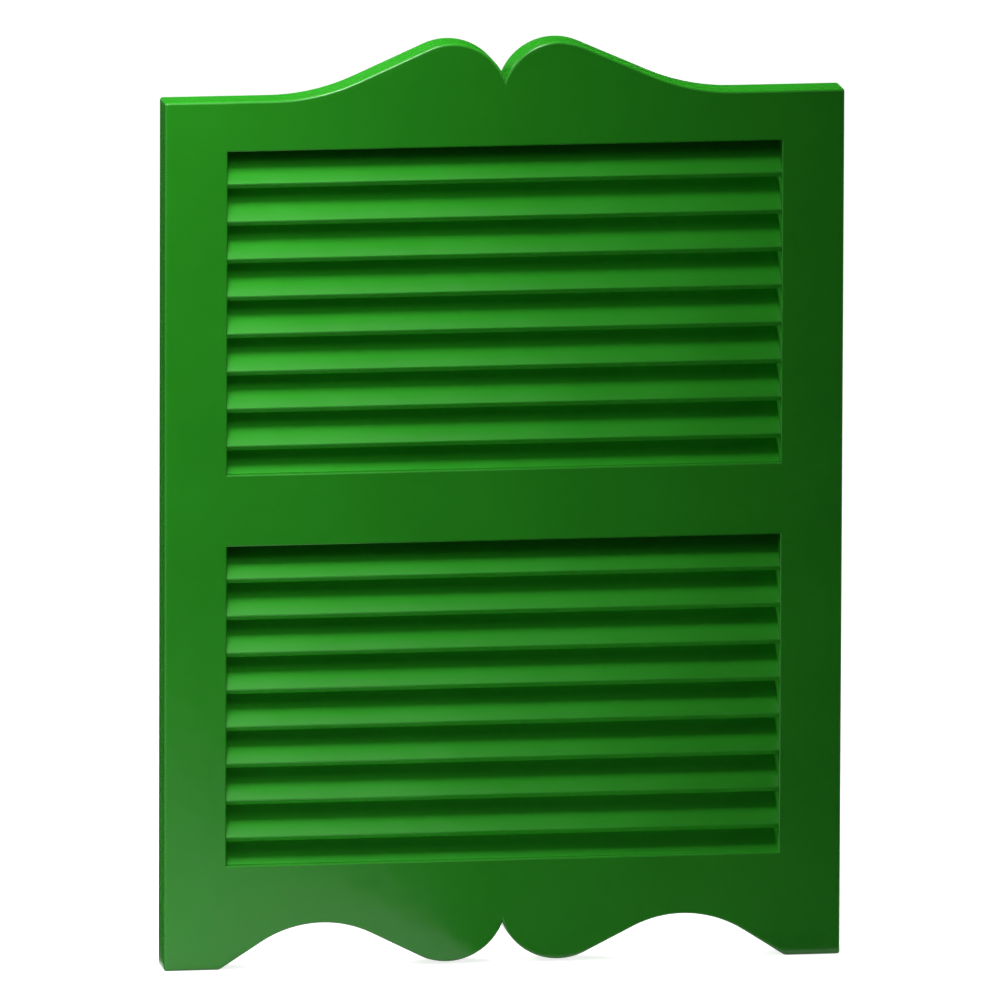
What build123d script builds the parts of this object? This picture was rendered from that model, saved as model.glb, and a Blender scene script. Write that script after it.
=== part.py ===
from build123d import *
from math import acos, asin, atan2, cos, degrees, hypot, radians, sin
import os

# Saloon door leaf with fixed louvres, hung by its outer edges.
# X runs across the leaf, Y from its front to its back and Z up.
# The origin is on the ground, under the middle of the leaf.

# Driving dimensions of the frame, in millimetres
leaf_width = 600.0
leaf_thickness = 35.0
stile_width = 55.0
stile_height = 770.0
top_rail_height = 44.6
middle_rail_bottom = 376.0
middle_rail_height = 63.6
bottom_rail_height = 92.4

# Driving dimensions of the two scrolls
upper_lobe_offset = 47.5
upper_lobe_rise = 47.0
upper_notch_depth = 33.0
shoulder_width = 96.0
lower_lobe_offset = 49.5
lower_lobe_clearance = 2.2
lower_notch_depth = 33.5
arch_offset = 159.7
arch_rise = 39.6
foot_width = 46.8
foot_radius = 8.0
curve_share = 0.83

# Driving dimensions of the rounded edges
arris_round = 2.5
opening_round = 1.5

# Driving dimensions of the louvre slats and their housings
slat_thickness = 7.0
slat_round = 1.2
slat_slope = 45.0
slat_setback = 2.0
slat_spacing = 33.0
slat_top_gap = 1.6
slat_sink = 7.6
housing_depth = 9.0
slat_fit = 0.1
slat_end_gap = 0.2

# Driving dimensions of the dowelled joints
dowel_diameter = 10.0
dowel_length = 60.0
dowel_chamfer = 1.0
dowel_margin = 12.0
dowel_fit = 0.05
dowel_end_gap = 0.5

# Places that follow from the driving dimensions, heights from the bottom up
half_width = leaf_width / 2
half_thickness = leaf_thickness / 2
half_opening = half_width - stile_width
opening_width = 2 * half_opening
upper_opening = (middle_rail_bottom + middle_rail_height, stile_height - top_rail_height)
lower_opening = (bottom_rail_height, middle_rail_bottom)
leaf_height = stile_height + upper_lobe_rise

# Section of a slat, whose rounded nose stays behind the face of the leaf
slope = radians(slat_slope)
core_thickness = slat_thickness / 2 - slat_round
core_depth = half_thickness - slat_setback - slat_round - core_thickness * sin(slope)
slat_width = 2 * (core_depth / cos(slope) + slat_round)
slat_rise = slat_width * sin(slope)
nose_to_centre = (slat_rise - slat_thickness * cos(slope)) / 2
slat_length = opening_width + 2 * (housing_depth - slat_end_gap)


def slat_heights(opening):
    """Heights of the slat centres between two rails, from the top one down."""
    bottom, top = opening
    first_nose = top - slat_top_gap - slat_rise
    last_nose = bottom - slat_sink
    gaps = max(1, round((first_nose - last_nose) / slat_spacing))
    pitch = (first_nose - last_nose) / gaps
    return [first_nose - step * pitch + nose_to_centre for step in range(gaps + 1)]


# Sides, openings filled with slats, rails, and the dowelled stretch of each rail end
sides = {"left": -1, "right": 1}
openings = {"upper": upper_opening, "lower": lower_opening}
rails = {
    "top": (upper_opening[1], leaf_height),
    "middle": (lower_opening[1], upper_opening[0]),
    "bottom": (0, lower_opening[0]),
}
joints = {
    "top": (upper_opening[1], stile_height),
    "middle": rails["middle"],
    "bottom": (arch_rise, lower_opening[0]),
}


def lobe_radius(offset, depth):
    """Radius of a lobe whose twin meets it in a notch on the centre line."""
    return (offset**2 + depth**2) / (2 * depth)


def bend_total(run, drop):
    """Sum of the two radii that bend a scroll from a crest to a hollow."""
    return curve_share * (run**2 + drop**2) / (2 * drop)


def bend_angle(run, drop):
    """Angle of the straight stretch between those two bends."""
    radii = bend_total(run, drop)
    return degrees(atan2(run, radii - drop) - acos(radii / hypot(run, radii - drop)))


def scroll(crest, hollow, crest_radius=None, hollow_radius=None):
    """Draw crest, straight and hollow, where one of the two radii is given."""
    run = abs(hollow[0] - crest[0])
    drop = crest[1] - hollow[1]
    turn = bend_angle(run, drop) if hollow[0] > crest[0] else -bend_angle(run, drop)
    if crest_radius is None:
        crest_radius = bend_total(run, drop) - hollow_radius
    else:
        hollow_radius = bend_total(run, drop) - crest_radius
    over = CenterArc((crest[0], crest[1] - crest_radius), crest_radius, 90, -turn)
    under = CenterArc((hollow[0], hollow[1] + hollow_radius), hollow_radius, 270, -turn)
    Line(over @ 1, under @ 1)


upper_lobe_radius = lobe_radius(upper_lobe_offset, upper_notch_depth)
lower_lobe_radius = lobe_radius(lower_lobe_offset, lower_notch_depth)
upper_lobe = (upper_lobe_offset, leaf_height)
shoulder = (half_width - shoulder_width, stile_height)
lower_lobe = (lower_lobe_offset, lower_lobe_clearance)
arch = (arch_offset, arch_rise)
foot = (half_width - foot_width, 0)

# The frame is glued up as one blank, sawn to its scrolls and rounded over
with BuildPart() as frame_blank:
    with BuildSketch(Plane.XZ):
        with BuildLine():
            upper_centre = (upper_lobe[0], upper_lobe[1] - upper_lobe_radius)
            upper_turn = degrees(asin(upper_lobe_offset / upper_lobe_radius))
            upper_notch = CenterArc(upper_centre, upper_lobe_radius, 90, upper_turn) @ 1
            scroll(upper_lobe, shoulder, crest_radius=upper_lobe_radius)
            Polyline(shoulder, (half_width, stile_height), (half_width, 0), foot)
            scroll(arch, foot, hollow_radius=foot_radius)
            scroll(arch, lower_lobe, hollow_radius=lower_lobe_radius)
            lower_centre = (lower_lobe[0], lower_lobe[1] + lower_lobe_radius)
            lower_turn = degrees(asin(lower_lobe_offset / lower_lobe_radius))
            lower_notch = CenterArc(lower_centre, lower_lobe_radius, 270, -lower_turn) @ 1
            Line(upper_notch, lower_notch)
        make_face()
    extrude(amount=half_thickness, both=True)
    end_faces = frame_blank.faces().sort_by(Axis.Y)
    outline = end_faces[0].edges() + end_faces[-1].edges()
    corners = frame_blank.edges().filter_by(Axis.Y).group_by(Axis.X)[-1]
    fillet(outline.sort_by(Axis.X)[2:] + corners, radius=arris_round)
    mirror(about=Plane.YZ)
    with BuildSketch(Plane.XZ):
        for bottom, top in openings.values():
            with Locations((0, (bottom + top) / 2)):
                Rectangle(opening_width, top - bottom)
    extrude(amount=half_thickness, both=True, mode=Mode.SUBTRACT)
    end_faces = frame_blank.faces().sort_by(Axis.Y)
    rims = end_faces[0].inner_wires() + end_faces[-1].inner_wires()
    fillet([edge for rim in rims for edge in rim.edges()], radius=opening_round)


def write_piece(piece, node):
    """Label one finished piece and write its file."""
    piece.part.label = node
    export_step(piece.part, f"parts/{node}.step")


def dowel_heights(rail):
    """Heights of the dowels at each end of a rail."""
    bottom, top = joints[rail]
    return [bottom + dowel_margin, top - dowel_margin]


def dowel_holes(side, facing, heights):
    """Drill the dowel holes of one joint face, which looks along facing."""
    for height in heights:
        with Locations(Plane((side * half_opening, 0, height), z_dir=(facing, 0, 0))):
            Hole(dowel_diameter / 2 + dowel_fit, depth=dowel_length / 2 + dowel_end_gap)


def slat_profile(heights, rail_top, growth=0.0):
    """Rounded sloping sections in the current sketch, cut flat on their rail."""
    with Locations([(0, height) for height in heights]):
        Rectangle(slat_width + 2 * growth, slat_thickness + 2 * growth, rotation=slat_slope)
    fillet(vertices(), radius=slat_round + growth)
    with Locations((0, rail_top - growth)):
        Rectangle(leaf_thickness, slat_rise, align=(Align.CENTER, Align.MAX), mode=Mode.SUBTRACT)


os.makedirs("parts", exist_ok=True)

# Stiles, with a sloping housing for the end of every slat
for name, side in sides.items():
    with BuildPart() as stile:
        add(frame_blank.part)
        with BuildSketch(Plane.XZ):
            with Locations((side * (half_width - stile_width / 2), leaf_height / 2)):
                Rectangle(stile_width, leaf_height)
        extrude(amount=half_thickness, both=True, mode=Mode.INTERSECT)
        for opening in openings.values():
            with BuildSketch(Plane.YZ.offset(side * half_opening)):
                slat_profile(slat_heights(opening), opening[0], slat_fit)
            extrude(amount=side * housing_depth, mode=Mode.SUBTRACT)
        for rail in rails:
            dowel_holes(side, -side, dowel_heights(rail))
    write_piece(stile, f"stile_{name}")

# Rails, which butt against the stiles and are drilled for the same dowels
for name, (bottom, top) in rails.items():
    with BuildPart() as rail:
        add(frame_blank.part)
        with BuildSketch(Plane.XZ):
            with Locations((0, (bottom + top) / 2)):
                Rectangle(opening_width, top - bottom)
        extrude(amount=half_thickness, both=True, mode=Mode.INTERSECT)
        for side in sides.values():
            dowel_holes(side, side, dowel_heights(name))
    write_piece(rail, f"rail_{name}")

# Slats, the lowest of each opening cut flat to sit on its rail
for section, opening in openings.items():
    for number, height in enumerate(slat_heights(opening), start=1):
        with BuildPart() as slat:
            with BuildSketch(Plane.YZ):
                slat_profile([height], opening[0])
            extrude(amount=slat_length / 2, both=True)
        write_piece(slat, f"slat_{section}_{number}")

# Dowels, hidden half in a rail and half in a stile
for rail in rails:
    for name, side in sides.items():
        for number, height in enumerate(dowel_heights(rail), start=1):
            with BuildPart() as dowel:
                with BuildSketch(Plane.YZ.offset(side * half_opening)):
                    with Locations((0, height)):
                        Circle(dowel_diameter / 2)
                extrude(amount=dowel_length / 2, both=True)
                chamfer(dowel.edges().filter_by(GeomType.CIRCLE), length=dowel_chamfer)
            write_piece(dowel, f"dowel_{rail}_{name}_{number}")
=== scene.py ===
from math import cos, radians, sin

import bpy
from mathutils import Matrix, Vector


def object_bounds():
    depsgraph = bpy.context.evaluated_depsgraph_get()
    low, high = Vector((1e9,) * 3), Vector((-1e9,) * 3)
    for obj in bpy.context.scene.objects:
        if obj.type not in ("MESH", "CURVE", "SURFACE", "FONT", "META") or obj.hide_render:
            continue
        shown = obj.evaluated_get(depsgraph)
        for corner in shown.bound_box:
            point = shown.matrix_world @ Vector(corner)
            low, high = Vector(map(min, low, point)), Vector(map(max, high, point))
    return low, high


# Saloon door leaf with fixed louvres, in glossy green enamel.
# Lengths are in metres, angles in degrees and powers in watts.

# Camera, which stands far off to the left of the leaf and a little above it
camera_azimuth = -9.0
camera_elevation = 10.0
camera_roll = 0.21
camera_distance = 25.0
camera_reach = 100.0
camera_target = Vector((-0.0010, 0.0, 0.4090))
frame_width = 0.8749
sensor_width = 36.0

# Enamel, whose colour is scaled by shares: the one green is painted darker on the frame (painted shade) and
# lighter on the slats (painted light)
enamel_colour = (0.022, 0.290, 0.013)
enamel_roughness = (0.22, 0.27)
enamel_ior = 1.45
# Painted shade on the frame and painted light on the slats, not a real difference in the paint
frame_painted_shade = 0.85
slat_painted_light = 1.10
shade_spread = 0.04
patch_scale = 9.0

# Uneven surface of the enamel: features in each metre, and shares of its relief
peel_scale = 420.0
peel_share = 0.2
flow_scale = 260.0
flow_share = 0.02
flow_stretch = 0.03
swell_scale = 34.0
swell_share = 3.0
enamel_relief = {"Strength": 0.6, "Distance": 0.0003}

# Bare wood of the dowels
wood_dark = (0.42, 0.24, 0.12)
wood_pale = (0.66, 0.44, 0.25)
wood_roughness = (0.55, 0.75)
wood_scale = 900.0
wood_stretch = 0.08
wood_relief = {"Strength": 0.5, "Distance": 0.0002}

# Ranges of a noise over which a colour and a roughness change
colour_range = (0.35, 0.65)
roughness_range = (0.3, 0.7)

# Floor, which glows more the farther it lies from the leaf
white = (1.0, 1.0, 1.0, 1.0)
floor_colour = (0.45, 0.45, 0.45, 1.0)
floor_roughness = 0.9
floor_gloss = 0.1
floor_extent = {"low": (-30.0, -30.0), "high": (30.0, 30.0)}
floor_glow = (0.82, 1.0)
floor_glow_range = (0.8, 3.0)
world_strength = 0.03

# Dark cards: two just over the floor, two upright ones across the scene and one overhead
cloth_colour = (0.01, 0.01, 0.01, 1.0)
card_lift = 0.002
front_flag_corners = [(-4.0, -9.0), (9.0, -9.0), (9.0, -0.03), (-0.02, -0.03), (-0.16, -1.2), (-4.0, -1.2)]
side_flag_corners = [(-4.0, -0.02), (-0.302, -0.02), (-0.302, 0.9), (-4.0, 0.9)]
upright_reach = 9.0
far_flag = {"place": -9.0, "height": 3.0}
back_flag = {"place": 0.9, "height": 4.0}
overhead_flag = {"low": (0.25, -3.0), "high": (4.0, 3.0), "level": 2.0}

# Lamps, each a soft box at a place that looks at a target
box_size = 0.9
lamps = {
    "key_low": {"place": (-0.8, -2.6, 1.75), "target": (-1.0, 0.0, 0.8), "power": 0.4, "spread": 50.0},
    "key_middle": {"place": (-0.8, -2.2, 2.35), "target": (-0.95, 0.0, 0.95), "power": 3.4, "spread": 50.0},
    "key_high": {"place": (-0.8, -1.35, 3.0), "target": (-0.8, 0.0, 1.2), "power": 12.4, "spread": 50.0},
    "side_light": {"place": (-2.3, -1.2, 2.1), "target": (-0.6, 0.0, 0.6), "power": 0.9, "spread": 70.0},
    "back_light": {
        "place": (-0.3, 2.5, 2.3), "target": (-0.1, 0.0, 0.5), "power": 12.0, "spread": 70.0, "glossy": False,
    },
    "top_light": {
        "place": (0.0, 0.0, 2.6), "target": (0.0, 0.0, 0.8), "power": 1.6, "spread": 30.0, "glossy": False,
        "size": 0.8, "depth": 0.04,
    },
    "right_light": {
        "place": (2.4, 0.5, 1.6), "target": (0.2, 0.0, 0.5), "power": 5.0, "spread": 90.0, "size": 1.0,
    },
    "rim": {"place": (-2.0, 1.9, 1.8), "target": (-0.9, 0.6, 0.7), "power": 50.0, "size": 0.8},
}

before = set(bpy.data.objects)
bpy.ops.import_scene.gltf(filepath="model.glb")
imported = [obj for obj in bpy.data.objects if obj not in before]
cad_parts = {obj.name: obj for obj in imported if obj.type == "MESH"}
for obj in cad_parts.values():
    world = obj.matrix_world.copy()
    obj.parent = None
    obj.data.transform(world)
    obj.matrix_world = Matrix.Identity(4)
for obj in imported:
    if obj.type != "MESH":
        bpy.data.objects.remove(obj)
cad_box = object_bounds()


# Node trees

class Tree:
    """A small builder for the nodes of one material."""

    def __init__(self, name):
        self.material = bpy.data.materials.new(name)
        self.material.use_nodes = True
        self.nodes = self.material.node_tree.nodes
        self.links = self.material.node_tree.links
        self.shader = self.nodes["Principled BSDF"]

    @classmethod
    def of(cls, node_tree):
        """The same builder for the nodes of the world."""
        tree = cls.__new__(cls)
        tree.nodes, tree.links = node_tree.nodes, node_tree.links
        return tree

    def add(self, kind, settings=None, **inputs):
        """Add a node, set its properties, and set or link its inputs by name or number."""
        node = self.nodes.new("ShaderNode" + kind)
        for key, value in (settings or {}).items():
            setattr(node, key, value)
        for key, value in inputs.items():
            self.feed(node, key, value)
        return node

    def feed(self, node, key, value):
        """Set one input of a node, or link it to the output of another."""
        socket = node.inputs[int(key[1:])] if key[1:].isdigit() else node.inputs[key.replace("_", " ")]
        if isinstance(value, bpy.types.NodeSocket):
            self.links.new(value, socket)
        else:
            socket.default_value = value

    def noise(self, vector, scale, detail=3.0, roughness=0.5):
        """Noise between 0 and 1 at a scale of features in each metre."""
        node = self.add("TexNoise", Vector=vector, Scale=scale, Detail=detail, Roughness=roughness)
        return node.outputs[0]

    def stretched(self, vector, factors):
        """A vector stretched along its axes."""
        return self.add("VectorMath", {"operation": "MULTIPLY"}, i0=vector, i1=factors).outputs[0]

    def math(self, operation, first, second):
        """The result of one sum on two values."""
        return self.add("Math", {"operation": operation}, i0=first, i1=second).outputs[0]

    def ramp(self, value, low, high, to_low=0.0, to_high=1.0):
        """A value taken from one range to another and held there."""
        node = self.add("MapRange", Value=value)
        for key, number in (("From Min", low), ("From Max", high), ("To Min", to_low), ("To Max", to_high)):
            node.inputs[key].default_value = number
        return node.outputs[0]

    def mix(self, factor, first, second):
        """A value between two others."""
        return self.add("Mix", {"data_type": "FLOAT"}, i0=factor, i2=first, i3=second).outputs[0]

    def blend(self, factor, first, second):
        """Two colours mixed by a factor."""
        mixed = self.add("Mix", {"data_type": "RGBA"}, i0=factor, i6=(*first, 1.0), i7=(*second, 1.0))
        return mixed.outputs[2]


def scaled(colour, factor):
    return tuple(channel * factor for channel in colour)


def green_enamel(name, grain, painted_light_share):
    """Glossy enamel over planed wood, whose grain runs along one axis; a share darkens or lightens its colour
    as painted shade or painted light.
    """
    tree = Tree(name)
    place = tree.add("TexCoord").outputs["Object"]
    along = tuple(flow_stretch if axis == grain else 1.0 for axis in "XYZ")
    patches = tree.noise(place, patch_scale, detail=4.0)
    flow = tree.noise(tree.stretched(place, along), flow_scale, detail=4.0, roughness=0.6)
    peel = tree.noise(place, peel_scale, detail=2.0)
    swell = tree.noise(place, swell_scale, detail=1.0)
    # The share scales both tones: below 1 it is painted shade, above 1 painted light
    dark = scaled(enamel_colour, (1.0 - shade_spread) * painted_light_share)
    pale = scaled(enamel_colour, (1.0 + shade_spread) * painted_light_share)
    tree.feed(tree.shader, "Base Color", tree.blend(tree.ramp(patches, *colour_range), dark, pale))
    tree.feed(tree.shader, "Roughness", tree.ramp(patches, *roughness_range, *enamel_roughness))
    tree.shader.inputs["IOR"].default_value = enamel_ior
    height = tree.math("MULTIPLY", peel, peel_share)
    height = tree.math("ADD", height, tree.math("MULTIPLY", flow, flow_share))
    height = tree.math("ADD", height, tree.math("MULTIPLY", swell, swell_share))
    tree.feed(tree.shader, "Normal", tree.add("Bump", Height=height, **enamel_relief).outputs[0])
    return tree.material


def bare_wood(name):
    """Turned beech, with its grain along the dowel."""
    tree = Tree(name)
    place = tree.add("TexCoord").outputs["Object"]
    grain = tree.noise(tree.stretched(place, (wood_stretch, 1.0, 1.0)), wood_scale, detail=5.0, roughness=0.6)
    colour = tree.blend(tree.ramp(grain, *colour_range), wood_dark, wood_pale)
    tree.feed(tree.shader, "Base Color", colour)
    tree.feed(tree.shader, "Roughness", tree.ramp(grain, *roughness_range, *wood_roughness))
    tree.feed(tree.shader, "Normal", tree.add("Bump", Height=grain, **wood_relief).outputs[0])
    return tree.material


# Rails and stiles get the enamel darkened as painted shade, slats the same enamel lightened as painted light
coats = {
    "rail": green_enamel("rail_coat_painted_shade", "X", frame_painted_shade),
    "stile": green_enamel("stile_coat_painted_shade", "Z", frame_painted_shade),
    "slat": green_enamel("slat_coat_painted_light", "X", slat_painted_light),
    "dowel": bare_wood("dowel_wood"),
}

for node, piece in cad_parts.items():
    for slot in piece.material_slots:
        slot.material = coats[node.split("_")[0]]


# Stage and light

def seen_ray(tree):
    """1 for the rays that show the background: those of the camera, of gloss and of glass."""
    path = tree.add("LightPath").outputs
    gloss = tree.math("MAXIMUM", path["Is Glossy Ray"], path["Is Transmission Ray"])
    return tree.math("MAXIMUM", path["Is Camera Ray"], gloss)


def matt(tree, colour, roughness, gloss):
    """Give a tree's shader a plain matt surface."""
    tree.shader.inputs["Base Color"].default_value = colour
    tree.shader.inputs["Roughness"].default_value = roughness
    tree.shader.inputs["Specular IOR Level"].default_value = gloss


def floor_paper():
    """Pale matt paper, lifted to white for the rays that show the background."""
    tree = Tree("floor_paper")
    matt(tree, floor_colour, floor_roughness, floor_gloss)
    tree.shader.inputs["Emission Color"].default_value = white
    away = tree.add("VectorMath", {"operation": "LENGTH"}, i0=tree.add("TexCoord").outputs["Object"])
    glow = tree.ramp(away.outputs["Value"], *floor_glow_range, *floor_glow)
    tree.feed(tree.shader, "Emission Strength", tree.math("MULTIPLY", seen_ray(tree), glow))
    return tree.material


def dark_cloth():
    tree = Tree("dark_cloth")
    matt(tree, cloth_colour, 1.0, 0.0)
    return tree.material


def sheet(name, corners, material):
    """A flat card of the stage, which isn't part of the object."""
    mesh = bpy.data.meshes.new(name)
    mesh.from_pydata(corners, [], [range(len(corners))])
    card = bpy.data.objects.new(name, mesh)
    card.data.materials.append(material)
    bpy.context.scene.collection.objects.link(card)
    return card


def flag(name, corners, material):
    """A dark card that only gloss sees, like the dim room round the real leaf."""
    card = sheet(name, corners, material)
    card.visible_camera = card.visible_diffuse = card.visible_shadow = False


def rectangle(low, high, level):
    """Corners of a level rectangle."""
    (left, front), (right, rear) = low, high
    return [(left, front, level), (right, front, level), (right, rear, level), (left, rear, level)]


def upright(place, height):
    """Corners of a rectangle that stands across the scene."""
    left, right = -upright_reach, upright_reach
    return [(left, place, 0.0), (right, place, 0.0), (right, place, height), (left, place, height)]


floor_level = cad_box[0].z
sheet("floor", rectangle(**floor_extent, level=floor_level), floor_paper())
cloth = dark_cloth()
for name, corners in (("front_flag", front_flag_corners), ("side_flag", side_flag_corners)):
    flag(name, [(x, y, floor_level + card_lift) for x, y in corners], cloth)
flag("far_flag", upright(**far_flag), cloth)
flag("back_flag", upright(**back_flag), cloth)
flag("overhead_flag", rectangle(**overhead_flag), cloth)


def dim_world():
    """A faint even light, white for the rays that show the background."""
    world = bpy.data.worlds.new("world")
    world.use_nodes = True
    bpy.context.scene.world = world
    tree = Tree.of(world.node_tree)
    background = tree.nodes["Background"]
    tree.feed(background, "Strength", tree.mix(seen_ray(tree), world_strength, 1.0))
    background.inputs["Color"].default_value = white


def soft_lamp(name, place, target, power, spread=180.0, size=box_size, depth=None, glossy=True):
    """A soft box that looks at a point, square unless its depth is given."""
    lamp = bpy.data.lights.new(name, "AREA")
    lamp.shape = "RECTANGLE"
    lamp.size = size
    lamp.size_y = depth or size
    lamp.energy = power
    lamp.spread = radians(spread)
    holder = bpy.data.objects.new(name, lamp)
    holder.location = place
    holder.rotation_mode = "QUATERNION"
    holder.rotation_quaternion = (Vector(target) - Vector(place)).to_track_quat("-Z", "Y")
    holder.visible_glossy = glossy
    bpy.context.scene.collection.objects.link(holder)


dim_world()
for name, settings in lamps.items():
    soft_lamp(name, **settings)

# Camera
azimuth, elevation = radians(camera_azimuth), radians(camera_elevation)
back = Vector((sin(azimuth) * cos(elevation), -cos(azimuth) * cos(elevation), sin(elevation)))
camera = bpy.data.objects.new("camera", bpy.data.cameras.new("camera"))
camera.data.sensor_width = sensor_width
camera.data.lens = sensor_width * camera_distance / frame_width
camera.data.clip_end = camera_reach
turned = back.to_track_quat("Z", "Y").to_matrix().to_4x4()
turned = turned @ Matrix.Rotation(radians(camera_roll), 4, "Z")
camera.matrix_world = Matrix.Translation(camera_target + back * camera_distance) @ turned
bpy.context.scene.collection.objects.link(camera)
bpy.context.scene.camera = camera

bpy.context.scene.view_settings.view_transform = "Standard"
